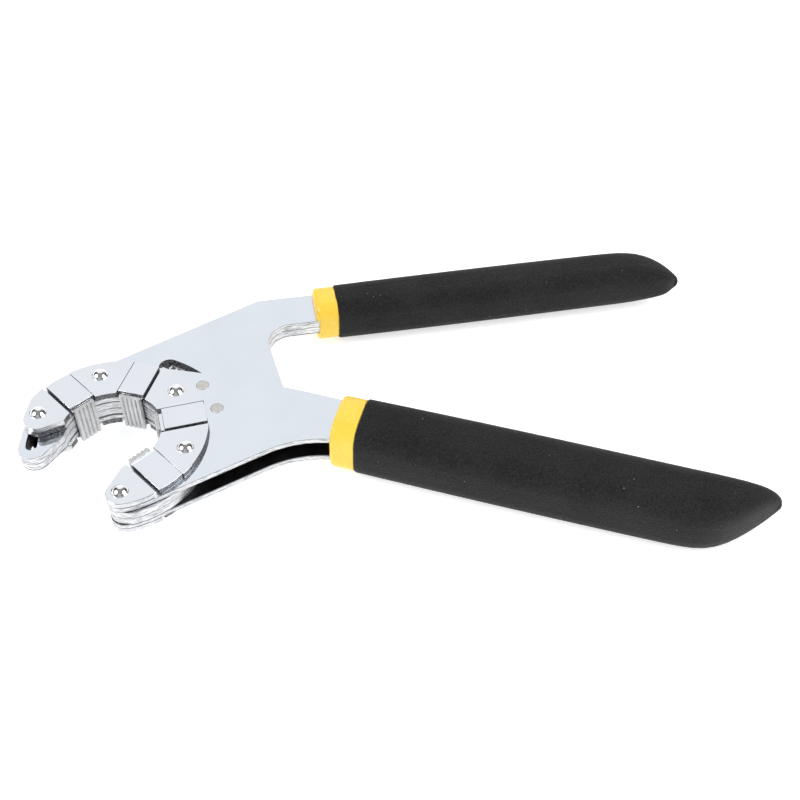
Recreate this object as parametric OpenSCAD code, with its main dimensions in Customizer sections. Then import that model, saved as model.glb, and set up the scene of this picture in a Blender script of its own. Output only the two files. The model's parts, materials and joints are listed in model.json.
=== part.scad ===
// Open-ended self-adjusting hex gripping pliers, shown fully open.
// Origin: centre of the hexagonal jaw opening, mid-way through the plate stack.
// +Z is the pivot axis of the handles; the handles reach out along +X.

/* [Head] */
// Radius of the circle through the five domed rivets
rivet_circle_r = 20; // [19.5:0.1:20.5]
// Outer radius of the C-shaped head
ring_r = 24.3; // [24.1:0.1:25]
// Radius of the round opening behind the jaw pads
ring_bore_r = 12.6; // [12.5:0.05:12.7]
// Radius of the rounded ends of the head beyond its last rivets
nose_r = 3.8; // [3.6:0.1:3.9]
// Shank radius of a domed rivet
rivet_r = 1.3; // [1.2:0.05:1.35]
// Radius of a rivet's domed head
dome_r = 2.1; // [1.9:0.1:2.4]
// Height of a rivet's domed head
dome_h = 1.25; // [1:0.05:1.5]

/* [Plate stack] */
// Thickness of each of the two inner plates
inner_t = 2.35; // [2.2:0.05:2.4]
// Running gap between the inner and outer plates
plate_gap = 0.1; // [0.05:0.05:0.2]
// Thickness of each outer plate
outer_t = 1.6; // [1.4:0.1:1.8]
// Thickness of the guide wedges on the outer plates
guide_t = 1.6; // [1.5:0.1:1.8]

/* [Jaws] */
// Distance from the centre to a jaw face with the handles open
jaw_open = 10.9; // [10.8:0.05:11]
// How far each jaw slides in as the handles close
jaw_travel = 4.8; // [4:0.1:4.9]
// Width of a jaw pad
pad_w = 5.9; // [5:0.1:6]
// Thickness of a jaw pad from its ridges to its back
pad_t = 1.1; // [1:0.05:1.15]
// Depth of the grooves in a jaw pad
groove_depth = 0.45; // [0.2:0.05:0.5]
// Width of the slides that carry a pad
slide_w = 7; // [6:0.1:7.2]
// Distance from the centre to a slide's rounded outer end
slide_end = 24; // [23:0.1:24.1]
// Width of the channel between two guide wedges
channel_w = 8; // [7.6:0.1:8.2]
// Radius of a jaw's cam pin
cam_pin_r = 1.3; // [1.2:0.05:1.35]
// Sideways offset of a cam pin from its jaw's centre line
cam_pin_side = 1.4; // [1.3:0.05:1.5]

/* [Handles] */
// Angle through which the far handle closes
closing = 20; // [16:1:20]
// Length of the near handle's foam grip
near_grip_len = 106.4; // [100:1:110]
// Length of the far handle's foam grip
far_grip_len = 104; // [100:1:110]
// Visible length of the near handle's collar
near_collar_len = 6.6; // [6:0.1:9]
// Visible length of the far handle's collar
far_collar_len = 6.2; // [5:0.1:8]
// Half width of the near handle's grip at its widest
near_half_w = 9; // [8.6:0.1:10]
// Half thickness of the near handle's grip
near_half_t = 8.6; // [8:0.1:9]
// Half width of the far handle's grip at its widest
far_half_w = 7.2; // [7.1:0.1:9]
// Half thickness of the far handle's grip
far_half_t = 6.8; // [6.4:0.1:7.4]

/* [Return spring] */
// Radius of the arc that the spring lies along
spring_arc_r = 27.7; // [27.6:0.1:27.8]
// Outer radius of the spring's coils
coil_r = 2.2; // [2:0.1:2.25]
// Thickness of the spring's wire
wire_d = 0.6; // [0.5:0.05:0.7]
// Number of turns in the spring
coil_turns = 7; // [6:1:8]

/* [Hidden] */
$fn = 64;
small = 0.01;

// Heights of the faces in the plate stack, the same above and below the middle
outer_z0 = inner_t + plate_gap;
outer_z1 = outer_z0 + outer_t;
guide_z1 = outer_z1 + guide_t;
slide_z0 = outer_z1 + plate_gap;
slide_t = guide_z1 - slide_z0;

// Angles about +Z of the rivets and of the jaws between them; the sixth place is the mouth
rivet_angles = [155.8, 99.6, 35.6, -23.4, -82];
jaw_angles = [127.5, 67.5, 7.5, -52.5];
// Side of each channel that its slide leaves open: 1 is anticlockwise, -1 clockwise
open_sides = [1, -1, -1, -1];
slide_gap = 0.12;
slide_shift = (channel_w - slide_w) / 2 - slide_gap;

// Clearances: fixed pins in their holes, and moving pins in their slots
hole_fit = 0.02;
slot_fit = 0.15;
// Angles by which each rivet's arc slot runs on past its travel
slot_before = 0.4;
slot_after = [4, 1.6, 1.6, 1.6, 1.6];

// Flush spacer pins through the two outer plates
spacer_pin_r = 1.65;
spacer_circle_r = 27;
spacer_angles = [31.5, 11.6];

// Arc window in the inner plates that holds the spring and lets the spacer pins pass
window_r = 2.8;
window_from = 11;
window_to = 59.2;
spring_from = 36.6;
spring_to = 61.4;

// Each handle: where its grip begins, its direction, and its widths in the plates
near_start = [62.8, -5.1];
near_dir = -23.4;
near_neck_right = 6.1;
near_neck_left = 6.8;
near_tang_half = 5;
far_start = [61.5, 42.8];
far_dir = 2.8;
far_neck_half = 5.6;
far_tang_half = 4;
tang_len = 78;
sleeve_len = 10;
sleeve_wall = 1.5;
tang_rivet_r = 1.6;
tang_rivet_places = [22, 58];
collar_step = 0.3;
neck_fit = 0.2;

// ---- points and curves ----

function polar(r, a) = [r * cos(a), r * sin(a)];
function aim(d) = atan2(d.y, d.x);
function reversed(list) = [for (i = [len(list) - 1 : -1 : 0]) list[i]];
function but_last(list) = [for (i = [0 : len(list) - 2]) list[i]];
function but_first_last(list) = [for (i = [1 : len(list) - 2]) list[i]];

// Points of an arc about c, both ends included
function arc(c, r, from, to, step = 3) =
    let (n = max(2, ceil(abs(to - from) / step)))
    [for (i = [0 : n]) c + polar(r, from + (to - from) * i / n)];

// Where the line through p in direction a meets the line through q in direction b
function meet(p, a, q, b) =
    let (d = q - p, t = (d.x * sin(b) - d.y * cos(b)) / (cos(a) * sin(b) - sin(a) * cos(b)))
    p + t * [cos(a), sin(a)];

// Round corner of radius r for a path that arrives at corner going in direction a and leaves in b
function rounded_corner(corner, a, b, r) =
    let (side = b > a ? 1 : -1,
         back = r * tan(abs(b - a) / 2),
         centre = corner - polar(back, a) + polar(r, a + side * 90))
    arc(centre, r, a - side * 90, b - side * 90);

// Shallow bow from p to q that rises to the left by rise at its middle
function bow(p, q, rise, steps = 12) =
    let (d = q - p, left = [-d.y, d.x] / norm(d))
    [for (i = [0 : steps]) p + d * i / steps + left * rise * 4 * (i / steps) * (1 - i / steps)];

// ---- flat outlines ----

// Angle left free between a ring's arcs and its noses
nose_lap = 1.5;

// Angle at a circle's centre between a point at offset d and where a line from it touches the circle
function touch(d, r) = acos(min(1, r / norm(d)));

// Round end of a C-shaped ring, between straight edges that run to the rim and to the bore.
// A nose is [rim's last angle, bore's last angle, angle of its round end, place radius, end radius].
function nose(outer, n, first) =
    let (c = polar(n[3], n[2]),
         rim = polar(outer, n[0]) - c,
         bore = polar(ring_bore_r, n[1]) - c,
         from = first ? aim(rim) + touch(rim, n[4]) : aim(bore) + touch(bore, n[4]),
         to = first ? aim(bore) - touch(bore, n[4]) : aim(rim) - touch(rim, n[4]))
    arc(c, n[4], from, to + (to < from ? 360 : 0), 6);

function bore_edge(noses) = arc([0, 0], ring_bore_r, noses[0][1] - nose_lap, noses[1][1] + nose_lap);

// C-shaped ring alone
function ring_points(outer, noses) = concat(
    nose(outer, noses[1], false),
    arc([0, 0], outer, noses[1][0] + nose_lap, noses[0][0] - nose_lap),
    nose(outer, noses[0], true),
    bore_edge(noses)
);

// Length by which a neck's straight edges begin before the grip
neck_back = 2;

// Point of a handle: along its axis from where the grip begins, and across it to the left
function neck_point(start, dir, along, across) = start + polar(along, dir) + polar(across, dir + 90);

// Neck and tang of a plate, from the neck's right edge round the tang to its left edge
function tang_points(start, dir, neck_right, neck_left, half) = concat(
    [neck_point(start, dir, -neck_back, -neck_right), neck_point(start, dir, -neck_back, -half)],
    arc(neck_point(start, dir, tang_len, 0), half, dir - 90, dir + 90, 10),
    [neck_point(start, dir, -neck_back, half), neck_point(start, dir, -neck_back, neck_left)]
);

// Plate on the near handle: the C-shaped head with a tapering neck
near_noses = [[148, 159.5, 160.4, 19.1, nose_r], [-80, -77, -81.3, 20.4, nose_r]];
near_low_from = -67;
near_high_from = 75;
near_low_r = 28;
near_bow = 1.6;

module near_plate_outline() {
    low = neck_point(near_start, near_dir, 0, -near_neck_right);
    high = neck_point(near_start, near_dir, -neck_back, near_neck_left);
    low_line = near_low_from + 90;
    corner = meet(polar(ring_r, near_low_from), low_line, low, near_dir);
    polygon(concat(
        nose(ring_r, near_noses[1], false),
        arc([0, 0], ring_r, near_noses[1][0] + nose_lap, near_low_from),
        rounded_corner(corner, low_line, near_dir, near_low_r),
        but_last(tang_points(near_start, near_dir, near_neck_right, near_neck_left, near_tang_half)),
        reversed(bow(polar(ring_r, near_high_from), high, near_bow)),
        arc([0, 0], ring_r, near_high_from + nose_lap, near_noses[0][0] - nose_lap),
        nose(ring_r, near_noses[0], true),
        bore_edge(near_noses)
    ));
}

// Plate on the far handle: its head's upper nose reaches past the outer plates' nose
far_ring_r = 24.8;
far_noses = [[152, 170, 181.5, 19.5, 3.7], [-80, -77, -81.3, 20.3, 3.7]];
far_high_from = 116.5;
far_back_dir = 99;
far_low_to = -10;
far_hidden_edge = [[34.5, 0], [44.6, 9]];
far_outer_corner_r = 3.5;
far_inner_corner_r = 6.8;

module far_plate_outline() {
    high = neck_point(far_start, far_dir, -neck_back, far_neck_half);
    low = neck_point(far_start, far_dir, -neck_back, -far_neck_half);
    outer_corner = meet(polar(far_ring_r, far_high_from), far_high_from - 90, high, far_dir);
    inner_corner = meet(low, far_dir, far_hidden_edge[1], far_back_dir);
    polygon(concat(
        nose(far_ring_r, far_noses[1], false),
        arc([0, 0], far_ring_r, far_noses[1][0] + nose_lap, far_low_to),
        far_hidden_edge,
        rounded_corner(inner_corner, far_back_dir, far_dir, far_inner_corner_r),
        tang_points(far_start, far_dir, far_neck_half, far_neck_half, far_tang_half),
        rounded_corner(outer_corner, far_dir + 180, far_high_from + 90, far_outer_corner_r),
        arc([0, 0], far_ring_r, far_high_from, far_noses[0][0] - nose_lap),
        nose(far_ring_r, far_noses[0], true),
        bore_edge(far_noses)
    ));
}

// Slot along an arc about the origin, with round ends
module arc_slot(r, half_w, from, to) {
    polygon(concat(
        but_last(arc([0, 0], r + half_w, from, to)),
        but_last(arc(polar(r, to), half_w, to, to + 180, 12)),
        but_last(arc([0, 0], r - half_w, to, from)),
        but_last(arc(polar(r, from), half_w, from + 180, from + 360, 12))
    ));
}

// A cam pin's place in its jaw's own frame, seen from the far handle after closing by t degrees
function cam_path(t) =
    let (x = rivet_circle_r - jaw_travel * t / closing, y = cam_pin_side)
    [x * cos(t) - y * sin(t), x * sin(t) + y * cos(t)];

// Direction in which the pin moves along that path
function cam_heading(t) = aim(cam_path(t + 0.1) - cam_path(t - 0.1));

// Cam slot that draws a jaw in as the handles close
module cam_slot() {
    half_w = cam_pin_r + slot_fit;
    steps = 12;
    times = [for (i = [1 : steps - 1]) closing * i / steps];
    first = cam_heading(0);
    last = cam_heading(closing);
    polygon(concat(
        arc(cam_path(0), half_w, first + 90, first + 270, 12),
        [for (t = times) cam_path(t) + polar(half_w, cam_heading(t) - 90)],
        arc(cam_path(closing), half_w, last - 90, last + 90, 12),
        [for (t = reversed(times)) cam_path(t) + polar(half_w, cam_heading(t) + 90)]
    ));
}

// Straight slot that lets a cam pin follow its jaw
module jaw_slot() {
    half_w = cam_pin_r + slot_fit;
    polygon(concat(
        arc([rivet_circle_r, cam_pin_side], half_w, -90, 90, 12),
        arc([rivet_circle_r - jaw_travel, cam_pin_side], half_w, 90, 270, 12)
    ));
}

module tang_rivet_holes(start, dir, r) {
    for (s = tang_rivet_places) {
        translate(start + polar(s, dir)) circle(r);
    }
}

// ---- near handle ----

// Steel plate with rivet holes, spacer pin holes and straight jaw slots
module outer_plate(z) {
    translate([0, 0, z]) linear_extrude(outer_t) difference() {
        near_plate_outline();
        for (a = rivet_angles) {
            translate(polar(rivet_circle_r, a)) circle(rivet_r + hole_fit);
        }
        for (a = spacer_angles) {
            translate(polar(spacer_circle_r, a)) circle(spacer_pin_r + hole_fit);
        }
        for (a = jaw_angles) {
            rotate(a) jaw_slot();
        }
        tang_rivet_holes(near_start, near_dir, tang_rivet_r + hole_fit);
    }
}

module outer_plate_top() {
    color("gainsboro") outer_plate(outer_z0);
}

module outer_plate_bottom() {
    color("gainsboro") outer_plate(-outer_z1);
}

// Wedge between two jaw channels; the first and last also carry the rounded noses
module guide(i, z) {
    color("whitesmoke") translate([0, 0, z]) linear_extrude(guide_t) difference() {
        intersection() {
            polygon(ring_points(ring_r, near_noses));
            polygon([[0, 0], polar(60, rivet_angles[i] - 30), polar(70, rivet_angles[i]),
                polar(60, rivet_angles[i] + 30)]);
        }
        for (a = jaw_angles) {
            rotate(a) translate([0, -channel_w / 2]) square([2 * ring_r, channel_w]);
        }
        translate(polar(rivet_circle_r, rivet_angles[i])) circle(rivet_r + hole_fit);
    }
}

// Rivet with a domed head at each end, through the whole stack
module rivet(i) {
    dome_sphere_r = (dome_r * dome_r + dome_h * dome_h) / (2 * dome_h);
    color("silver") translate(polar(rivet_circle_r, rivet_angles[i])) {
        translate([0, 0, -guide_z1]) cylinder(h = 2 * guide_z1, r = rivet_r);
        for (side = [0, 1]) {
            mirror([0, 0, side]) intersection() {
                translate([0, 0, guide_z1 + dome_h - dome_sphere_r]) sphere(dome_sphere_r);
                translate([0, 0, guide_z1]) cylinder(h = dome_h + 1, r = dome_r + 1);
            }
        }
    }
}

module spacer_pins() {
    color("darkgray") for (a = spacer_angles) {
        translate(concat(polar(spacer_circle_r, a), [-outer_z1]))
            cylinder(h = 2 * outer_z1, r = spacer_pin_r);
    }
}

// Bar that keeps the two outer plates apart inside the grip
module near_tang_spacer() {
    color("dimgray") translate([0, 0, -outer_z0]) linear_extrude(2 * outer_z0) difference() {
        polygon(but_first_last(
            tang_points(near_start, near_dir, near_tang_half, near_tang_half, near_tang_half)));
        tang_rivet_holes(near_start, near_dir, tang_rivet_r + hole_fit);
    }
}

module tang_rivets(start, dir, half_t) {
    color("darkgray") for (s = tang_rivet_places) {
        translate(concat(start + polar(s, dir), [-half_t])) cylinder(h = 2 * half_t, r = tang_rivet_r);
    }
}

// ---- far handle ----

// Steel plate with arc slots for the rivets, cam slots for the jaw pins and the spring window
module inner_plate(z) {
    translate([0, 0, z]) linear_extrude(inner_t) difference() {
        far_plate_outline();
        for (i = [0 : len(rivet_angles) - 1]) {
            arc_slot(rivet_circle_r, rivet_r + slot_fit, rivet_angles[i] - slot_before,
                rivet_angles[i] + closing + slot_after[i]);
        }
        for (a = jaw_angles) {
            rotate(a) cam_slot();
        }
        arc_slot(spring_arc_r, window_r, window_from, window_to);
        tang_rivet_holes(far_start, far_dir, tang_rivet_r + hole_fit);
    }
}

module inner_plate_top() {
    color("lightgray") inner_plate(0);
}

module inner_plate_bottom() {
    color("lightgray") inner_plate(-inner_t);
}

// ---- grips and collars ----

squareness = 3.4;
section_points = 28;

// Rounded-rectangle section: centre c across, half width a, half thickness b, at x along
function section(x, c, a, b) =
    [for (i = [0 : section_points - 1])
        let (t = 360 * i / section_points,
             u = pow(abs(cos(t)), 2 / squareness) * sign(cos(t)),
             v = pow(abs(sin(t)), 2 / squareness) * sign(sin(t)))
        [x, c + a * u, b * v]];

// Closed skin over a list of sections
module skin(sections) {
    n = section_points;
    count = len(sections);
    side_faces = [for (j = [0 : count - 2], i = [0 : n - 1])
        let (k = (i + 1) % n)
        [j * n + i, (j + 1) * n + i, (j + 1) * n + k, j * n + k]];
    first_cap = [for (i = [0 : n - 1]) i];
    last_cap = [for (i = [n - 1 : -1 : 0]) (count - 1) * n + i];
    polyhedron([for (s = sections) each s], concat([first_cap], side_faces, [last_cap]));
}

// Falls from 1 to 0 over a last stretch of length span, as left falls to 0 at the tip
function fall(left, span, power) = pow(1 - pow(min(1, max(0, 1 - left / span)), power), 1 / power);

// How far a side has moved in along a straight bevel of slope rate, whose shoulder is rounded
function bevel(left, span, shoulder, rate) = rate * shoulder * ln(1 + exp((span - left) / shoulder));

// Shape of a grip's end: the lengths of the outer side's bevel, of its shoulder and of the inner
// side's curve, the tip's offset as a share of the half width, and the inner side's taper
near_tip = [14.3, 3.1, 6.9, 0.73, 1.3];
far_tip = [3.5, 4, 5, 0.28, 1.1];
thick_fall = 20;
tip_half_t = 0.6;
tip_half_w = 0.8;
flare_len = 60;
flare = 0.7;
body_steps = 8;
tip_steps = 15;
end_len = 28;

// One section of a grip at x along; side is 1 when the outer side is on the left
function grip_section(x, len, half_w, half_t, side, end) =
    let (left = len - x,
         w = half_w - flare * pow(1 - min(1, x / flare_len), 2),
         tip = -end[3] * w,
         outer = w - bevel(left, end[0], end[1], (w - tip) / end[0]),
         inner = tip + (end[4] * x / len - w - tip) * fall(left, end[2], 2),
         thick = half_t * fall(left, thick_fall, 2.2))
    section(x, side * (outer + inner) / 2, max(tip_half_w, (outer - inner) / 2), max(tip_half_t, thick));

// Foam sleeve with a pocket for the tang and for the collar's hidden sleeve
module grip(start, dir, len, half_w, half_t, side, end, tang_half, plate_half) {
    along = concat(
        [for (i = [0 : body_steps - 1]) (len - end_len) * i / body_steps],
        [for (i = [0 : tip_steps]) len - end_len * (1 - sin(90 * i / tip_steps))]
    );
    color([0.14, 0.14, 0.15]) translate(start) rotate(dir) difference() {
        skin([for (x = along) grip_section(x, len, half_w, half_t, side, end)]);
        translate([-1, -tang_half, -plate_half]) cube([tang_len + 1, 2 * tang_half, 2 * plate_half]);
        translate([tang_len, 0, -plate_half]) cylinder(h = 2 * plate_half, r = tang_half);
        translate([-1, -tang_half - sleeve_wall, -plate_half - sleeve_wall])
            cube([sleeve_len + 1, 2 * (tang_half + sleeve_wall), 2 * (plate_half + sleeve_wall)]);
    }
}

// Plastic collar: a visible band, and a thin sleeve that runs on under the foam
module collar(start, dir, collar_len, half_w, half_t, neck_right, neck_left, tang_half, plate_half) {
    w = half_w - flare - collar_step;
    t = half_t - collar_step;
    soft = 1;
    color("gold") translate(start) rotate(dir) difference() {
        union() {
            skin([
                section(-collar_len, 0, w - soft, t - soft),
                section(-collar_len + 0.3 * soft, 0, w - 0.35 * soft, t - 0.35 * soft),
                section(-collar_len + soft, 0, w, t),
                section(0, 0, w, t)
            ]);
            translate([-small, -tang_half - sleeve_wall, -plate_half - sleeve_wall])
                cube([sleeve_len, 2 * (tang_half + sleeve_wall), 2 * (plate_half + sleeve_wall)]);
        }
        translate([-collar_len - 1, -neck_right - neck_fit, -plate_half])
            cube([collar_len + 1, neck_right + neck_left + 2 * neck_fit, 2 * plate_half]);
        translate([-1, -tang_half, -plate_half]) cube([sleeve_len + 2, 2 * tang_half, 2 * plate_half]);
    }
}

module near_grip() {
    grip(near_start, near_dir, near_grip_len, near_half_w, near_half_t, -1, near_tip,
        near_tang_half, outer_z1);
}

module far_grip() {
    grip(far_start, far_dir, far_grip_len, far_half_w, far_half_t, 1, far_tip,
        far_tang_half, inner_t);
}

module near_collar() {
    collar(near_start, near_dir, near_collar_len, near_half_w, near_half_t,
        near_neck_right, near_neck_left, near_tang_half, outer_z1);
}

module far_collar() {
    collar(far_start, far_dir, far_collar_len, far_half_w, far_half_t,
        far_neck_half, far_neck_half, far_tang_half, inner_t);
}

// ---- jaws ----

ridges = 5;
land_share = 0.55;
pin_hole_depth = 0.8;

// Serrated pad with flat-topped ridges that run parallel to the pivot axis
module jaw_pad(i) {
    pitch = pad_w / ridges;
    back = jaw_open + pad_t;
    valley = jaw_open + groove_depth;
    color("darkgray") rotate(jaw_angles[i]) translate([0, 0, -guide_z1]) linear_extrude(2 * guide_z1)
        polygon(concat(
            [[back, -pad_w / 2]],
            [for (k = [0 : ridges - 1])
                let (y = -pad_w / 2 + (k + 0.5) * pitch, half = land_share * pitch / 2)
                each [[valley, y - pitch / 2], [jaw_open, y - half], [jaw_open, y + half]]],
            [[valley, pad_w / 2], [back, pad_w / 2]]
        ));
}

// Flat slide that carries one end of a pad, with a step behind the pad and a blind hole for the pin
module jaw_slide(i, flip) {
    back = jaw_open + pad_t;
    step_len = 1;
    shift = -open_sides[i] * slide_shift;
    color("whitesmoke") mirror([0, 0, flip]) rotate(jaw_angles[i]) difference() {
        union() {
            translate([back, -pad_w / 2, slide_z0]) cube([step_len + small, pad_w, slide_t / 2]);
            intersection() {
                translate([back + step_len, shift - slide_w / 2, slide_z0])
                    cube([slide_end - back - step_len, slide_w, slide_t]);
                translate([0, 0, slide_z0]) cylinder(h = slide_t, r = slide_end);
            }
        }
        translate([rivet_circle_r, cam_pin_side, slide_z0 - 1])
            cylinder(h = 1 + pin_hole_depth, r = cam_pin_r + hole_fit);
    }
}

// Hardened pin that runs in the cam slots and ends inside the two slides
module cam_pin(i) {
    reach = slide_z0 + pin_hole_depth - hole_fit;
    color("silver") rotate(jaw_angles[i]) translate([rivet_circle_r, cam_pin_side, -reach])
        cylinder(h = 2 * reach, r = cam_pin_r);
}

// ---- return spring ----

wire_sides = 8;
steps_per_turn = 14;

// Point at angle p of the wire's skin around step k of the coil
function coil_point(k, p) =
    let (turn = k / steps_per_turn,
         along = spring_from + (spring_to - spring_from) * turn / coil_turns,
         spin = 360 * turn,
         reach = coil_r - wire_d / 2 + wire_d / 2 * cos(p),
         r = spring_arc_r + reach * cos(spin),
         a = along + wire_d / 2 * sin(p) / spring_arc_r * 180 / PI)
    [r * cos(a), r * sin(a), reach * sin(spin)];

// Round-wire coil spring bent along the arc window
module return_spring() {
    n = wire_sides;
    count = coil_turns * steps_per_turn + 1;
    side_faces = [for (j = [0 : count - 2], i = [0 : n - 1])
        let (k = (i + 1) % n)
        [j * n + i, (j + 1) * n + i, (j + 1) * n + k, j * n + k]];
    first_cap = [for (i = [0 : n - 1]) i];
    last_cap = [for (i = [n - 1 : -1 : 0]) (count - 1) * n + i];
    color("gray") polyhedron(
        [for (j = [0 : count - 1], i = [0 : n - 1]) coil_point(j, 360 * i / n)],
        concat([first_cap], side_faces, [last_cap])
    );
}

outer_plate_top();
outer_plate_bottom();
guide(0, outer_z1);  // guide_top_1
guide(1, outer_z1);  // guide_top_2
guide(2, outer_z1);  // guide_top_3
guide(3, outer_z1);  // guide_top_4
guide(4, outer_z1);  // guide_top_5
guide(0, -guide_z1);  // guide_bottom_1
guide(1, -guide_z1);  // guide_bottom_2
guide(2, -guide_z1);  // guide_bottom_3
guide(3, -guide_z1);  // guide_bottom_4
guide(4, -guide_z1);  // guide_bottom_5
rivet(0);  // rivet_1
rivet(1);  // rivet_2
rivet(2);  // rivet_3
rivet(3);  // rivet_4
rivet(4);  // rivet_5
spacer_pins();
near_tang_spacer();
tang_rivets(near_start, near_dir, outer_z1);  // near_tang_rivets
near_collar();
near_grip();
inner_plate_top();
inner_plate_bottom();
tang_rivets(far_start, far_dir, inner_t);  // far_tang_rivets
far_collar();
far_grip();
return_spring();
jaw_pad(0);  // jaw_pad_1
jaw_slide(0, 0);  // jaw_slide_top_1
jaw_slide(0, 1);  // jaw_slide_bottom_1
cam_pin(0);  // cam_pin_1
jaw_pad(1);  // jaw_pad_2
jaw_slide(1, 0);  // jaw_slide_top_2
jaw_slide(1, 1);  // jaw_slide_bottom_2
cam_pin(1);  // cam_pin_2
jaw_pad(2);  // jaw_pad_3
jaw_slide(2, 0);  // jaw_slide_top_3
jaw_slide(2, 1);  // jaw_slide_bottom_3
cam_pin(2);  // cam_pin_3
jaw_pad(3);  // jaw_pad_4
jaw_slide(3, 0);  // jaw_slide_top_4
jaw_slide(3, 1);  // jaw_slide_bottom_4
cam_pin(3);  // cam_pin_4
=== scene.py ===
"""Self-adjusting hex gripping pliers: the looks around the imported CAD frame, in metres."""

import json
import math

import bmesh
import bpy
from mathutils import Matrix, Vector


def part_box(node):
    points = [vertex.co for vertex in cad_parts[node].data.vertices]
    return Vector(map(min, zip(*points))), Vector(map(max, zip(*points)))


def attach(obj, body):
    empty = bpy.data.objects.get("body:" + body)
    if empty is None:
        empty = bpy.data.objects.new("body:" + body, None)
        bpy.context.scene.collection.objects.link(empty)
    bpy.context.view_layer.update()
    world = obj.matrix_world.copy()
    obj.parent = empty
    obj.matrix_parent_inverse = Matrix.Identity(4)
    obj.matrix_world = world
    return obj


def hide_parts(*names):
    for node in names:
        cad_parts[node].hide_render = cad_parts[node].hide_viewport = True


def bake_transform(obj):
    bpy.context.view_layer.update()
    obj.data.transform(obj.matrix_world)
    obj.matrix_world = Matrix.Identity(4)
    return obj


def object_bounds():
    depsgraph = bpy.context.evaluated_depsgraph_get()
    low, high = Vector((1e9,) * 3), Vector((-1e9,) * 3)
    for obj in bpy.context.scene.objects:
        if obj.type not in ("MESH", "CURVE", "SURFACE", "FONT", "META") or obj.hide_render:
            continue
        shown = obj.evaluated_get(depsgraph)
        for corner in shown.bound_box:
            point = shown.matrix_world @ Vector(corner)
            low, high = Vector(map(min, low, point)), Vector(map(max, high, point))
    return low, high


MM = 0.001

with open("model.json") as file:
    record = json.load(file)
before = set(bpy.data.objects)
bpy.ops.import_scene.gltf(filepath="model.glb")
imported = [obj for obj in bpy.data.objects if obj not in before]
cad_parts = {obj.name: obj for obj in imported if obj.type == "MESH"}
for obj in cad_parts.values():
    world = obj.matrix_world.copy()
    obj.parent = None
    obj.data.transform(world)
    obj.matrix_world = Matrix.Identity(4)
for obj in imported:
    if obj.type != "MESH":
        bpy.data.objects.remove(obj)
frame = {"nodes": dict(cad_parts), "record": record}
cad_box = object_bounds()

BODY_OF = {n: b for b, nodes in frame["record"]["behaviour"]["bodies"].items() for n in nodes}
UP = Vector((0, 0, 1))


# ---- small mesh helpers ----

WELD = 0.0005 * MM
SHARP_ANGLE = 30          # an edge that turns by more degrees than this is rounded
FLAT_Z = 0.9999           # a face whose normal's Z is past this is one of a prism's flats
WALL_Z = 0.01             # and one whose normal's Z is under this is one of its walls
ROUNDED_WEIGHT = 1e-6     # how little a rounded edge's faces pull the normals beside them


def new_object(name, mesh):
    """Links a new object for mesh and returns it."""
    obj = bpy.data.objects.new(name, mesh)
    bpy.context.scene.collection.objects.link(obj)
    return obj


def smooth_object(name, work):
    """A new, smooth-shaded object from the bmesh work, which is freed."""
    bmesh.ops.recalc_face_normals(work, faces=work.faces)
    mesh = bpy.data.meshes.new(name)
    work.to_mesh(mesh)
    work.free()
    mesh.shade_smooth()
    return new_object(name, mesh)


def apply_modifiers(obj):
    """Bakes obj's modifiers into its mesh."""
    graph = bpy.context.evaluated_depsgraph_get()
    mesh = bpy.data.meshes.new_from_object(obj.evaluated_get(graph), depsgraph=graph)
    old = obj.data
    obj.modifiers.clear()
    obj.data = mesh
    mesh.name = obj.name
    bpy.data.meshes.remove(old)


def clean_copy(node, name, flat_angle=0.2):
    """A new object with a CAD node's shape: welded, and its flat faces merged."""
    mesh = frame["nodes"][node].data.copy()
    mesh.materials.clear()
    work = bmesh.new()
    work.from_mesh(mesh)
    bmesh.ops.remove_doubles(work, verts=work.verts, dist=WELD)
    bmesh.ops.dissolve_limit(
        work, angle_limit=math.radians(flat_angle), verts=work.verts, edges=work.edges
    )
    bmesh.ops.recalc_face_normals(work, faces=work.faces)
    work.to_mesh(mesh)
    work.free()
    mesh.shade_smooth()
    return new_object(name, mesh)


def shade_prism(obj):
    """Gives an upright prism with rounded edges the normals of its own flats and walls."""
    mesh = obj.data
    sums = [Vector() for _ in mesh.vertices]
    level = {}
    for face in mesh.polygons:
        normal = face.normal
        if abs(normal.z) > FLAT_Z:
            level.update((v, Vector((0, 0, round(normal.z)))) for v in face.vertices)
        weight = face.area ** 2 * (1 if abs(normal.z) < WALL_Z else ROUNDED_WEIGHT)
        for v in face.vertices:
            sums[v] += normal * weight
    mesh.normals_split_custom_set_from_vertices(
        [level.get(i) or total.normalized() for i, total in enumerate(sums)]
    )


def round_edges(obj, width, segments):
    """Rounds every sharp edge, and keeps the flat faces flat."""
    bevel = obj.modifiers.new("edges", "BEVEL")
    bevel.width = width
    bevel.segments = segments
    bevel.limit_method = "ANGLE"
    bevel.angle_limit = math.radians(SHARP_ANGLE)
    apply_modifiers(obj)
    shade_prism(obj)


def place(obj, node, slot, *materials):
    """Gives obj its materials and puts it in a CAD node's place, on that node's body."""
    for material in materials:
        obj.data.materials.append(material)
    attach(obj, BODY_OF[node])
    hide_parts(node)
    return obj


# ---- material helpers ----

# Heights in mm of the seams between the stacked plates, and the half width of the painted shade line in
# each
SEAMS = [(4.05, 0.13), (2.4, 0.15), (0.0, 0.09), (-2.4, 0.30), (-4.05, 0.12)]
SEAM_FADE = 1.7           # the painted shade line is gone at this many half widths
SEAM_WANDER = 0.07 * MM


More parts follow.
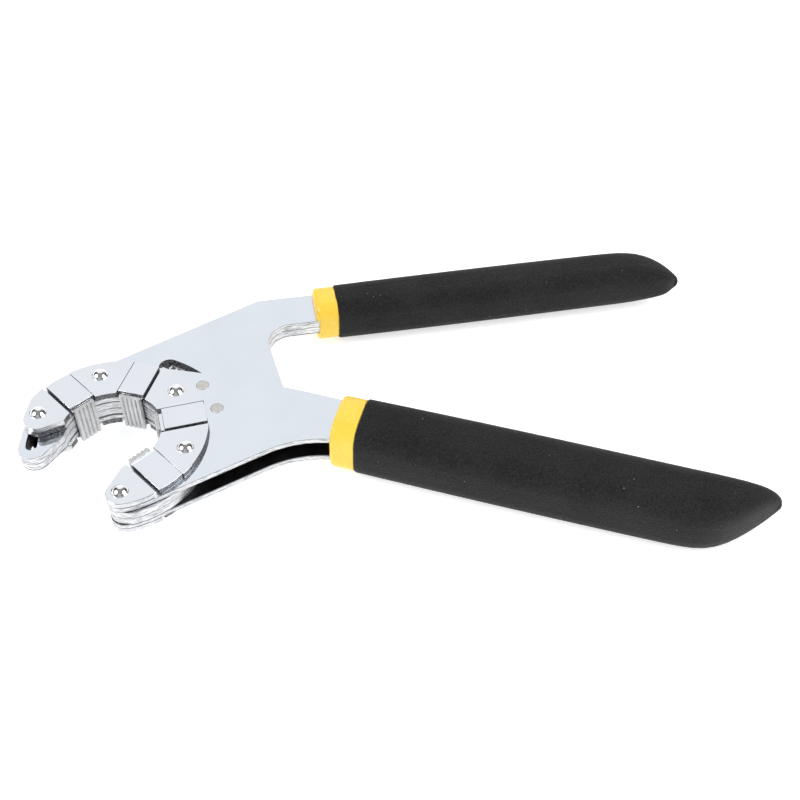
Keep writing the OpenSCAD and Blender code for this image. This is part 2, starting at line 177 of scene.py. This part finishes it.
class Graph:
    """Short names for adding and joining the nodes of one material."""

    def __init__(self, name):
        self.material = bpy.data.materials.new(name)
        self.material.use_nodes = True
        self.tree = self.material.node_tree
        self.shader = self.tree.nodes["Principled BSDF"]
        self.coords = self.add("ShaderNodeTexCoord").outputs["Object"]

    def add(self, kind, **settings):
        """A new node with its settings."""
        node = self.tree.nodes.new(kind)
        for key, value in settings.items():
            setattr(node, key, value)
        return node

    def join(self, source, target):
        """Links an output to an input."""
        self.tree.links.new(source, target)

    def stretched(self, scale):
        """Object coordinates multiplied by a vector of scales."""
        mapping = self.add("ShaderNodeMapping")
        mapping.inputs["Scale"].default_value = scale
        self.join(self.coords, mapping.inputs["Vector"])
        return mapping.outputs["Vector"]

    def noise(self, scale, detail=2.0, roughness=0.5, vector=None):
        """Noise whose features are about 1 / scale metres across."""
        node = self.add("ShaderNodeTexNoise")
        node.inputs["Scale"].default_value = scale
        node.inputs["Detail"].default_value = detail
        node.inputs["Roughness"].default_value = roughness
        self.join(vector or self.coords, node.inputs["Vector"])
        return node.outputs["Fac"]

    def cells(self, scale):
        """Distance to the nearest of many scattered points."""
        node = self.add("ShaderNodeTexVoronoi")
        node.inputs["Scale"].default_value = scale
        self.join(self.coords, node.inputs["Vector"])
        return node.outputs["Distance"]

    def spread(self, value, low, high, to_low=0.0, to_high=1.0):
        """value from low to high, spread over to_low to to_high and clamped."""
        node = self.add("ShaderNodeMapRange", clamp=True)
        node.inputs["From Min"].default_value = low
        node.inputs["From Max"].default_value = high
        node.inputs["To Min"].default_value = to_low
        node.inputs["To Max"].default_value = to_high
        self.join(value, node.inputs["Value"])
        return node.outputs["Result"]

    def math(self, operation, a, b=0.0):
        """a and b joined by a Math node; b may be a number, and one-value operations leave it out."""
        node = self.add("ShaderNodeMath", operation=operation)
        self.join(a, node.inputs[0])
        if isinstance(b, (int, float)):
            node.inputs[1].default_value = b
        else:
            self.join(b, node.inputs[1])
        return node.outputs["Value"]

    def mix(self, below, above, mask):
        """below with above laid over it by a mask; either may be a fixed colour."""
        node = self.add("ShaderNodeMix", data_type="RGBA")
        self.join(mask, node.inputs["Factor"])
        for socket, colour in (("A", below), ("B", above)):
            if isinstance(colour, tuple):
                node.inputs[socket].default_value = (*colour, 1)
            else:
                self.join(colour, node.inputs[socket])
        return node.outputs["Result"]

    def colours(self, value, low, high):
        """A colour between low and high, by value from 0 to 1."""
        return self.mix(low, high, value)

    def tilt(self):
        """How far the surface faces up (1) or down (-1)."""
        normal = self.add("ShaderNodeNewGeometry").outputs["Normal"]
        parts = self.add("ShaderNodeSeparateXYZ")
        self.join(normal, parts.inputs["Vector"])
        return parts.outputs["Z"]

    def sideways(self):
        """1 on walls that stand upright in the plate stack, 0 on its flat faces."""
        return self.spread(self.math("ABSOLUTE", self.tilt()), 0.2, 0.6, 1.0, 0.0)

    def underside(self):
        """1 on the rounded lower edges of a plate, where shade is painted; 0 on its walls and flat
        faces.
        """
        tilt = self.tilt()
        below = self.spread(tilt, -0.05, -0.3)
        return self.math("MULTIPLY", below, self.spread(tilt, -0.99, -0.93))

    def seams(self):
        """1 along the lines where two plates of the stack meet, where shade is painted; 0 elsewhere."""
        parts = self.add("ShaderNodeSeparateXYZ")
        self.join(self.coords, parts.inputs["Vector"])
        wander = self.spread(self.noise(500, 2.0), 0.3, 0.7, -SEAM_WANDER, SEAM_WANDER)
        height = self.math("ADD", parts.outputs["Z"], wander)
        lines = None
        for level, half in SEAMS:
            gap = self.math("ABSOLUTE", self.math("SUBTRACT", height, level * MM))
            line = self.spread(gap, half * MM, SEAM_FADE * half * MM, 1.0, 0.0)
            lines = line if lines is None else self.math("MAXIMUM", lines, line)
        return lines

    def bump(self, height, strength, distance, after=None):
        """Joins a bump of height to the shader, on top of an earlier bump."""
        node = self.add("ShaderNodeBump")
        node.inputs["Strength"].default_value = strength
        node.inputs["Distance"].default_value = distance
        self.join(height, node.inputs["Height"])
        if after is not None:
            self.join(after, node.inputs["Normal"])
        self.join(node.outputs["Normal"], self.shader.inputs["Normal"])
        return node.outputs["Normal"]


STREAK_SCALE = (420, 420, 4600)
TORN_DARK = (0.10, 0.10, 0.102)
TORN_LIGHT = (0.82, 0.82, 0.825)
# Near-black painted shade for the plates' lower edges and the seams between stacked plates
PAINTED_SHADE = (0.015, 0.015, 0.016)


def chrome(name, low, high, rough, streaks, edge_rough=0.3):
    """Bright plating between the colours low and high, as rough on its flats as rough says.

    streaks is how much of the stamped walls' torn layers and painted shade shows, and edge_rough is how
    much rougher the walls are than the flats.
    """
    g = Graph(name)
    g.shader.inputs["Metallic"].default_value = 1.0
    cloud = g.noise(90, 3.0)
    plated = g.colours(g.spread(cloud, 0.3, 0.7), low, high)
    smear = g.noise(420, 4.0, 0.6)
    sides = g.sideways()
    layers = g.noise(1.0, 4.0, 0.7, g.stretched(STREAK_SCALE))
    torn = g.colours(g.spread(layers, 0.37, 0.56), TORN_DARK, TORN_LIGHT)
    # Painted shade: the downward-facing lower edges and the seams between plates are darkened towards
    # near black
    walls = g.mix(torn, PAINTED_SHADE, g.math("MAXIMUM", g.underside(), g.seams()))
    on_walls = g.math("MULTIPLY", sides, streaks)
    g.join(g.mix(plated, walls, on_walls), g.shader.inputs["Base Color"])
    polish = g.spread(smear, 0.3, 0.7, rough * 0.8, rough * 1.25)
    worn = g.math("MULTIPLY", sides, edge_rough)
    g.join(g.math("ADD", polish, worn), g.shader.inputs["Roughness"])
    waves = g.bump(g.noise(130, 2.0), 0.12, 0.02 * MM)
    g.bump(g.math("MULTIPLY", layers, sides), 0.6 * streaks, 0.12 * MM, waves)
    return g.material


def dark_inside():
    """Near-black faces between the two outer plates."""
    g = Graph("near_black_inside")
    patches = g.spread(g.noise(260, 4.0, 0.6), 0.35, 0.65)
    shade = g.colours(patches, (0.006, 0.006, 0.007), (0.02, 0.02, 0.022))
    g.join(shade, g.shader.inputs["Base Color"])
    g.shader.inputs["Metallic"].default_value = 0.6
    g.join(g.spread(patches, 0, 1, 0.32, 0.5), g.shader.inputs["Roughness"])
    g.bump(g.noise(1500, 3.0), 0.3, 0.02 * MM)
    return g.material


def rough_cut_and_shade():
    """Grainy walls of the slots and the spring window, whose near-black to dark grey colour is painted
    shade and dark reflection.
    """
    g = Graph("rough_cut_shaded_steel")
    g.shader.inputs["Metallic"].default_value = 0.8
    grain = g.noise(1900, 4.0, 0.7)
    shade = g.spread(grain, 0.38, 0.66)
    # Painted shade: near black to dark grey, standing in for the shade and dark reflections on these
    # cut walls
    g.join(g.colours(shade, (0.02, 0.02, 0.021), (0.34, 0.34, 0.35)), g.shader.inputs["Base Color"])
    g.join(g.spread(grain, 0.3, 0.7, 0.35, 0.6), g.shader.inputs["Roughness"])
    g.bump(grain, 0.8, 0.08 * MM)
    return g.material


def satin_pin():
    """Warm grey satin steel of the spacer pins, cam pins and tang rivets."""
    g = Graph("spacer_pin_steel")
    g.shader.inputs["Metallic"].default_value = 1.0
    cloud = g.spread(g.noise(900, 4.0, 0.6), 0.3, 0.7)
    g.join(g.colours(cloud, (0.56, 0.545, 0.52), (0.72, 0.705, 0.68)), g.shader.inputs["Base Color"])
    g.join(g.spread(cloud, 0, 1, 0.24, 0.4), g.shader.inputs["Roughness"])
    g.bump(g.noise(2600, 3.0), 0.35, 0.02 * MM)
    return g.material


def jaw_steel():
    """Matte grey jaw steel with a fine cast grain."""
    g = Graph("jaw_steel")
    grain = g.noise(2400, 4.0, 0.65)
    cloud = g.noise(330, 3.0)
    mixed = g.math("ADD", g.math("MULTIPLY", grain, 0.6), g.math("MULTIPLY", cloud, 0.4))
    shade = g.spread(mixed, 0.35, 0.65)
    g.join(g.colours(shade, (0.46, 0.462, 0.465), (0.73, 0.733, 0.738)), g.shader.inputs["Base Color"])
    g.shader.inputs["Metallic"].default_value = 0.75
    g.join(g.spread(grain, 0.3, 0.7, 0.34, 0.52), g.shader.inputs["Roughness"])
    g.bump(grain, 0.6, 0.04 * MM)
    return g.material


def spring_steel():
    """Grey spring wire with a faint mottle."""
    g = Graph("spring_wire")
    g.shader.inputs["Metallic"].default_value = 1.0
    cloud = g.spread(g.noise(1500, 4.0, 0.6), 0.3, 0.7)
    g.join(g.colours(cloud, (0.36, 0.36, 0.37), (0.68, 0.68, 0.69)), g.shader.inputs["Base Color"])
    g.join(g.spread(cloud, 0, 1, 0.22, 0.38), g.shader.inputs["Roughness"])
    g.bump(g.noise(3000, 2.0), 0.3, 0.02 * MM)
    return g.material


def collar_plastic():
    """Glossy yellow moulded plastic with a faint orange-peel skin."""
    g = Graph("collar_plastic")
    cloud = g.spread(g.noise(140, 3.0), 0.3, 0.7)
    g.join(g.colours(cloud, (0.97, 0.625, 0.062), (0.98, 0.67, 0.080)), g.shader.inputs["Base Color"])
    g.join(g.spread(g.noise(700, 3.0), 0.3, 0.7, 0.2, 0.3), g.shader.inputs["Roughness"])
    g.shader.inputs["Subsurface Weight"].default_value = 0.08
    g.shader.inputs["Subsurface Radius"].default_value = (1.0, 0.5, 0.1)
    g.shader.inputs["Subsurface Scale"].default_value = 0.5 * MM
    g.bump(g.noise(620, 2.0), 0.08, 0.05 * MM)
    return g.material


def foam():
    """Black closed-cell foam: matte, finely pitted, with a scatter of pale grains."""
    g = Graph("foam")
    grain = g.noise(2000, 3.0, 0.65)
    cloud = g.noise(75, 3.0)
    shade = g.math("ADD", g.math("MULTIPLY", grain, 0.8), g.math("MULTIPLY", cloud, 0.2))
    base = g.colours(g.spread(shade, 0.40, 0.62), (0.002, 0.002, 0.0025), (0.021, 0.021, 0.023))
    specks = g.spread(g.cells(620), 0.05, 0.11, 1.0, 0.0)
    chosen = g.math("MULTIPLY", specks, g.spread(g.noise(500, 1.0), 0.62, 0.68))
    g.join(g.mix(base, (0.3, 0.3, 0.31), chosen), g.shader.inputs["Base Color"])
    g.join(g.spread(grain, 0.3, 0.7, 0.75, 0.95), g.shader.inputs["Roughness"])
    g.shader.inputs["Specular IOR Level"].default_value = 0.3
    g.shader.inputs["Sheen Weight"].default_value = 0.12
    g.shader.inputs["Sheen Roughness"].default_value = 0.4
    pits = g.bump(grain, 0.9, 0.22 * MM)
    g.bump(g.noise(1000, 3.0), 0.25, 0.15 * MM, pits)
    return g.material


def floor_material():
    """A white floor that glows enough to stay white round the object, and still takes its shadow."""
    g = Graph("studio_floor")
    shade = g.spread(g.noise(6, 3.0), 0.3, 0.7)
    g.join(g.colours(shade, (0.70, 0.70, 0.70), (0.72, 0.72, 0.72)), g.shader.inputs["Base Color"])
    g.shader.inputs["Roughness"].default_value = 0.9
    g.shader.inputs["Specular IOR Level"].default_value = 0.1
    g.shader.inputs["Emission Color"].default_value = (1, 1, 1, 1)
    g.shader.inputs["Emission Strength"].default_value = 0.62
    return g.material


MATERIALS = {
    "plate": chrome("plate_chrome", (0.735, 0.78, 0.845), (0.765, 0.81, 0.87), 0.08, 0.8),
    "guide": chrome("guide_chrome", (0.765, 0.795, 0.85), (0.79, 0.82, 0.875), 0.07, 0.7),
    "rivet": chrome("rivet_chrome", (0.92, 0.92, 0.92), (0.96, 0.96, 0.96), 0.05, 0.0, 0.02),
    "inside": dark_inside(),
    "cut": rough_cut_and_shade(),
    "pin": satin_pin(),
    "jaw": jaw_steel(),
    "spring": spring_steel(),
    "collar": collar_plastic(),
    "foam": foam(),
}


# ---- plates, guides, slides and pads: the CAD shapes with rounded edges ----

def metal_piece(node, slot, material, edge, segments=3):
    """A CAD node's shape with rounded edges and its own finish."""
    obj = clean_copy(node, node + "_finish")
    round_edges(obj, edge, segments)
    return place(obj, node, slot, MATERIALS[material])


# The least Z of a flat face's normal, and the most of a slot's wall, a guide's wall and the wall
# beside the mouth, with the rounded edges that belong to each
FLAT_FACE_Z = 0.99
SLOT_WALL_Z = 0.9
GUIDE_WALL_Z = 0.7
MOUTH_WALL_Z = 0.5

# Radii in mm: a guide's or slide's wall nearer the centre is the bore, one further out the rim
BORE_R = 13.3
RIM_R = 23.3

# Angles of the jaw channels, the side of each that its slide leaves open, and how far from a
# channel's middle that gap's two walls lie, in mm
CHANNELS = [(127.5, 1), (67.5, -1), (7.5, -1), (-52.5, -1)]
GAP_FROM = 3.0
GAP_TO = 4.3

# The top outer plate's wall beside the mouth, in mm
MOUTH_X = (-18.5, -11.9)
MOUTH_Y = (2, 6)

# Jaw slots, rivet slots and spring window of the inner plates: radii in mm, and angles in degrees
CUTS = [((14, 23), (-75, 150)), ((18.3, 21.7), (-88, 184)), ((24.7, 30.7), (4, 66))]
LAST_ANGLE = 200          # an angle past this counts back from 0


def darken_inside(obj, direction):
    """Gives the faces that look in direction, towards the middle of the stack, the near-black inside
    material.
    """
    obj.data.materials.append(MATERIALS["inside"])
    for face in obj.data.polygons:
        if face.normal.z * direction > FLAT_FACE_Z:
            face.material_index = 1


def in_open_gap(x, y):
    """True at a wall of a channel's open gap, on either side of it."""
    for angle, side in CHANNELS:
        turn = math.radians(angle)
        along = x * math.cos(turn) + y * math.sin(turn)
        across = side * (y * math.cos(turn) - x * math.sin(turn))
        if along > 0 and GAP_FROM < across < GAP_TO:
            return True
    return False


def shade_and_roughen_walls(obj, bright_rim=False):
    """Gives a guide's or slide's bore and open-gap walls, and its rim unless that is to stay bright,
    the grainy cut material; their dark colour is painted shade and dark reflection.
    """
    obj.data.materials.append(MATERIALS["cut"])
    for face in obj.data.polygons:
        x, y = face.center.x / MM, face.center.y / MM
        radius = math.hypot(x, y)
        at_bore = radius < BORE_R
        at_rim = radius > RIM_R and not bright_rim
        if abs(face.normal.z) < GUIDE_WALL_Z and (at_bore or at_rim or in_open_gap(x, y)):
            face.material_index = 1


def shade_and_roughen_mouth(obj):
    """Gives the top outer plate's wall beside the mouth, above the far nose, the grainy cut material,
    whose dark colour is painted shade.
    """
    obj.data.materials.append(MATERIALS["cut"])
    for face in obj.data.polygons:
        x, y = face.center.x / MM, face.center.y / MM
        beside_mouth = MOUTH_X[0] < x < MOUTH_X[1] and MOUTH_Y[0] < y < MOUTH_Y[1]
        if abs(face.normal.z) < MOUTH_WALL_Z and beside_mouth:
            face.material_index = 2


def shade_and_roughen_slots(obj):
    """Gives the inner plates' slot and window walls the grainy cut material, whose dark colour is
    painted shade.
    """
    obj.data.materials.append(MATERIALS["cut"])
    for face in obj.data.polygons:
        if abs(face.normal.z) > SLOT_WALL_Z:
            continue
        radius = face.center.xy.length / MM
        angle = math.degrees(math.atan2(face.center.y, face.center.x)) % 360
        angle -= 360 if angle > LAST_ANGLE else 0
        for (near, far), (first, last) in CUTS:
            if near < radius < far and first < angle < last:
                face.material_index = 1


PLATE_EDGE = 0.30 * MM
GUIDE_EDGE = 0.16 * MM
SLIDE_EDGE = 0.14 * MM
PAD_EDGE = 0.10 * MM
PIN_EDGE = 0.12 * MM

for side, inward in (("top", -1), ("bottom", 1)):
    outer = metal_piece("outer_plate_" + side, "plate_chrome", "plate", PLATE_EDGE)
    darken_inside(outer, inward)
    if side == "top":
        shade_and_roughen_mouth(outer)
    shade_and_roughen_slots(metal_piece("inner_plate_" + side, "plate_chrome", "plate", PLATE_EDGE))
    for number in range(1, 6):
        guide = metal_piece(f"guide_{side}_{number}", "guide_chrome", "guide", GUIDE_EDGE)
        shade_and_roughen_walls(guide, bright_rim=number in (1, 5))
    for number in range(1, 5):
        shade_and_roughen_walls(metal_piece(f"jaw_slide_{side}_{number}", "guide_chrome", "guide", SLIDE_EDGE))

for number in range(1, 5):
    metal_piece(f"jaw_pad_{number}", "jaw_steel", "jaw", PAD_EDGE, 2)
    metal_piece(f"cam_pin_{number}", "pin_steel", "pin", PIN_EDGE)

for node in ("spacer_pins", "near_tang_rivets", "far_tang_rivets"):
    metal_piece(node, "pin_steel", "pin", PIN_EDGE)

metal_piece("near_tang_spacer", "plate_chrome", "inside", PLATE_EDGE)


# ---- rivets ----

LATHE_SIDES = 72
DOME_STEPS = 14
DOME_FOOT = 0.12 * MM
SHANK_SHARE = 0.6         # the shank's radius, as a share of the head's


def lathe(name, profile, centre):
    """A closed solid turned about a vertical line: profile is (radius, height) from end to end."""
    work = bmesh.new()
    rings = []
    for radius, height in profile:
        if radius < 1e-7:
            rings.append([work.verts.new((centre.x, centre.y, height))])
            continue
        angles = (2 * math.pi * i / LATHE_SIDES for i in range(LATHE_SIDES))
        rings.append([
            work.verts.new((centre.x + radius * math.cos(a), centre.y + radius * math.sin(a), height))
            for a in angles
        ])
    for low, high in zip(rings, rings[1:]):
        for i in range(LATHE_SIDES):
            corners = [low[i % len(low)], low[(i + 1) % len(low)],
                       high[(i + 1) % len(high)], high[i % len(high)]]
            work.faces.new(list(dict.fromkeys(corners)))
    return smooth_object(name, work)


def dome(face, tip, radius):
    """Points of one domed head from its tip down to the face, with a small rolled foot."""
    height = abs(tip - face)
    sign = 1 if tip > face else -1
    ball = (radius * radius + height * height) / (2 * height)
    widest = math.asin(min(1.0, radius / ball))
    arc = []
    for i in range(DOME_STEPS + 1):
        angle = widest * i / DOME_STEPS
        arc.append((ball * math.sin(angle), tip - sign * ball * (1 - math.cos(angle))))
    arc = [p for p in arc if abs(p[1] - face) > DOME_FOOT]
    rolled = [(radius, face + sign * DOME_FOOT * 0.8), (radius * 0.985, face + sign * 0.02 * MM)]
    return arc + rolled


for number in range(1, 6):
    node = f"rivet_{number}"
    low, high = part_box(node)
    centre = (low + high) / 2
    head = (high.x - low.x) / 2
    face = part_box(f"guide_top_{number}")[1].z
    top = dome(face, high.z, head)
    shank = [(head * SHANK_SHARE, face), (head * SHANK_SHARE, -face)]
    bottom = [(r, -h) for r, h in reversed(top)]
    rivet = lathe(node + "_domed", top + shank + bottom, centre)
    place(rivet, node, "rivet_chrome", MATERIALS["rivet"])


# ---- grips and collars ----

SKIN_FLAT_ANGLE = 0.05
SMOOTH_AND_BACK = (0.5, -0.51)    # smoothing in, then out again, blends a shape and keeps its size


def smooth_skin(node, name, voxel, rounds):
    """A fine, even skin over a CAD shape: its flats are blended, and its size is kept."""
    obj = clean_copy(node, name, SKIN_FLAT_ANGLE)
    remesh = obj.modifiers.new("skin", "REMESH")
    remesh.mode = "VOXEL"
    remesh.voxel_size = voxel
    for _ in range(rounds):
        for factor in SMOOTH_AND_BACK:
            smooth = obj.modifiers.new("smooth", "SMOOTH")
            smooth.factor = factor
            smooth.iterations = 1
    apply_modifiers(obj)
    obj.data.shade_smooth()
    return obj


for handle in ("near", "far"):
    grip = smooth_skin(handle + "_grip", handle + "_foam_grip", 0.55 * MM, 14)
    place(grip, handle + "_grip", "foam", MATERIALS["foam"])
    collar = smooth_skin(handle + "_collar", handle + "_moulded_collar", 0.22 * MM, 10)
    place(collar, handle + "_collar", "collar_plastic", MATERIALS["collar"])


# ---- return spring ----

TUBE_SIDES = 12


def tube(name, points, radius):
    """A round wire along points, closed at both ends."""
    work = bmesh.new()
    rings = []
    across = UP
    for i, point in enumerate(points):
        ahead = (points[min(i + 1, len(points) - 1)] - points[max(i - 1, 0)]).normalized()
        across = (across - ahead * across.dot(ahead)).normalized()
        other = ahead.cross(across)
        rings.append([
            work.verts.new(point + radius * (math.cos(a) * across + math.sin(a) * other))
            for a in (2 * math.pi * k / TUBE_SIDES for k in range(TUBE_SIDES))
        ])
    for low, high in zip(rings, rings[1:]):
        for k in range(TUBE_SIDES):
            beside = (k + 1) % TUBE_SIDES
            work.faces.new((low[k], low[beside], high[beside], high[k]))
    work.faces.new(reversed(rings[0]))
    work.faces.new(rings[-1])
    return smooth_object(name, work)


WIRE_R = 0.31 * MM
SPRING_TURNS = 7
SPRING_STEPS = 36         # points on one turn
SPRING_ARC_R = 28.1 * MM  # 0.4 mm outside the CAD node's arc, where the photograph shows the coils
SPRING_FROM = 36.6        # angles in degrees of the coil's two ends
SPRING_TO = 61.4


def around(radius, angle):
    """Point at a radius and an angle in degrees about the hinge, in the plates' middle plane."""
    turn = math.radians(angle)
    return Vector((radius * math.cos(turn), radius * math.sin(turn), 0))


def spring_line():
    """Centre line of the coil: even turns round an arc about the hinge."""
    coil_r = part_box("return_spring")[1].z - WIRE_R
    count = SPRING_TURNS * SPRING_STEPS
    points = []
    for i in range(count + 1):
        share = i / count
        spin = 2 * math.pi * share * SPRING_TURNS
        along = SPRING_FROM + (SPRING_TO - SPRING_FROM) * share
        middle = around(SPRING_ARC_R, along)
        points.append(middle + coil_r * (math.cos(spin) * middle.normalized() + math.sin(spin) * UP))
    return points


spring = tube("return_spring_coil", spring_line(), WIRE_R)
spring.data.materials.append(MATERIALS["spring"])
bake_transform(spring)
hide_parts("return_spring")


# ---- floor, light and camera ----

FLOOR_HALF = 3.0
FLOOR_GAP = 0.02 * MM


def build_floor():
    """A plain pale floor just under the lowest point."""
    lowest = cad_box[0][2] - FLOOR_GAP
    mesh = bpy.data.meshes.new("floor")
    corners = [(-1, -1), (1, -1), (1, 1), (-1, 1)]
    mesh.from_pydata([(x * FLOOR_HALF, y * FLOOR_HALF, lowest) for x, y in corners], [], [(0, 1, 2, 3)])
    mesh.materials.append(floor_material())
    new_object("floor", mesh)


# Softboxes and black flags: azimuth, elevation and radius in degrees, and brightness
SOFTBOXES = [(180, 46, 27, 1.0), (-80, 42, 20, 6.0), (68, 40, 20, 6.0), (-10, 38, 22, 0.42)]
BLACK_FLAGS = [(110, 24, 13, 0.04), (-132, 24, 13, 0.04)]

CAMERA_AZIMUTH = -10.85
CAMERA_ELEVATION = 47.27
CAMERA_ROLL = 2.66
CAMERA_DISTANCE = 277.9 * MM
CAMERA_TARGET = Vector((74.6, 6.0, 0.0)) * MM
CAMERA_NEAR = 0.01
LENS = 46.7
SENSOR_WIDTH = 36


def direction(azimuth, elevation):
    """Unit vector from the object towards a viewer or light; at azimuth 0 it is on the -Y side."""
    a, e = math.radians(azimuth), math.radians(elevation)
    return Vector((math.sin(a) * math.cos(e), -math.cos(a) * math.cos(e), math.sin(e)))


def build_camera():
    """The photograph's view."""
    camera = bpy.data.objects.new("camera", bpy.data.cameras.new("camera"))
    bpy.context.scene.collection.objects.link(camera)
    towards = direction(CAMERA_AZIMUTH, CAMERA_ELEVATION)
    turn = (-towards).to_track_quat("-Z", "Y").to_matrix()
    roll = Matrix.Rotation(math.radians(CAMERA_ROLL), 3, "Z")
    stand = Matrix.Translation(CAMERA_TARGET + towards * CAMERA_DISTANCE)
    camera.matrix_world = stand @ (turn @ roll).to_4x4()
    camera.data.lens = LENS
    camera.data.sensor_width = SENSOR_WIDTH
    camera.data.clip_start = CAMERA_NEAR
    bpy.context.scene.camera = camera


class Sky(Graph):
    """Short names for the nodes of the world, which is a plain photographic studio."""

    def __init__(self):
        self.world = bpy.data.worlds.new("studio")
        bpy.context.scene.world = self.world
        self.world.use_nodes = True
        self.tree = self.world.node_tree
        self.out = self.tree.nodes["Background"]
        self.view = self.add("ShaderNodeTexCoord").outputs["Generated"]

    def towards(self, azimuth, elevation, inner, outer):
        """1 within inner degrees of a direction, falling to 0 at outer degrees."""
        node = self.add("ShaderNodeVectorMath", operation="DOT_PRODUCT")
        self.join(self.view, node.inputs[0])
        node.inputs[1].default_value = direction(azimuth, elevation)
        near, far = math.cos(math.radians(inner)), math.cos(math.radians(outer))
        mask = self.spread(node.outputs["Value"], far, near)
        mask.node.interpolation_type = "SMOOTHSTEP"
        return mask

    def horizon(self, low, high):
        """1 below the elevation low, falling to 0 at high, all the way round."""
        parts = self.add("ShaderNodeSeparateXYZ")
        self.join(self.view, parts.inputs["Vector"])
        heights = (math.sin(math.radians(low)), math.sin(math.radians(high)))
        return self.spread(parts.outputs["Z"], *heights, 1.0, 0.0)


ROOM = (0.20, 0.20, 0.203)
CEILING = (0.28, 0.28, 0.284)
HORIZON = (0.95, 0.95, 0.96)
BACK_SWEEP = (1.0, 1.02, 1.05)

# Azimuth, elevation, and radii in degrees of the full and the faded glow
CEILING_GLOW = (0, 90, 10, 35)
BACK_GLOW = (180, 0, 36, 52)
HORIZON_BAND = (8, 15)    # elevations where the pale horizon starts to fade, and ends
SOFT_EDGE = 0.85          # a softbox is full out to this share of its radius


def build_sky():
    """A dim room with a pale horizon and back sweep, four softboxes and two black flags."""
    sky = Sky()
    colour = sky.mix(ROOM, CEILING, sky.towards(*CEILING_GLOW))
    colour = sky.mix(colour, HORIZON, sky.horizon(*HORIZON_BAND))
    colour = sky.mix(colour, BACK_SWEEP, sky.towards(*BACK_GLOW))
    for azimuth, elevation, radius, power in SOFTBOXES + BLACK_FLAGS:
        glow = (power, power, power)
        edge = sky.towards(azimuth, elevation, radius * SOFT_EDGE, radius)
        colour = sky.mix(colour, glow, edge)
    sky.join(colour, sky.out.inputs["Color"])
    sky.out.inputs["Strength"].default_value = 1.0


build_floor()
build_camera()
build_sky()
bpy.context.scene.view_settings.view_transform = "Standard"
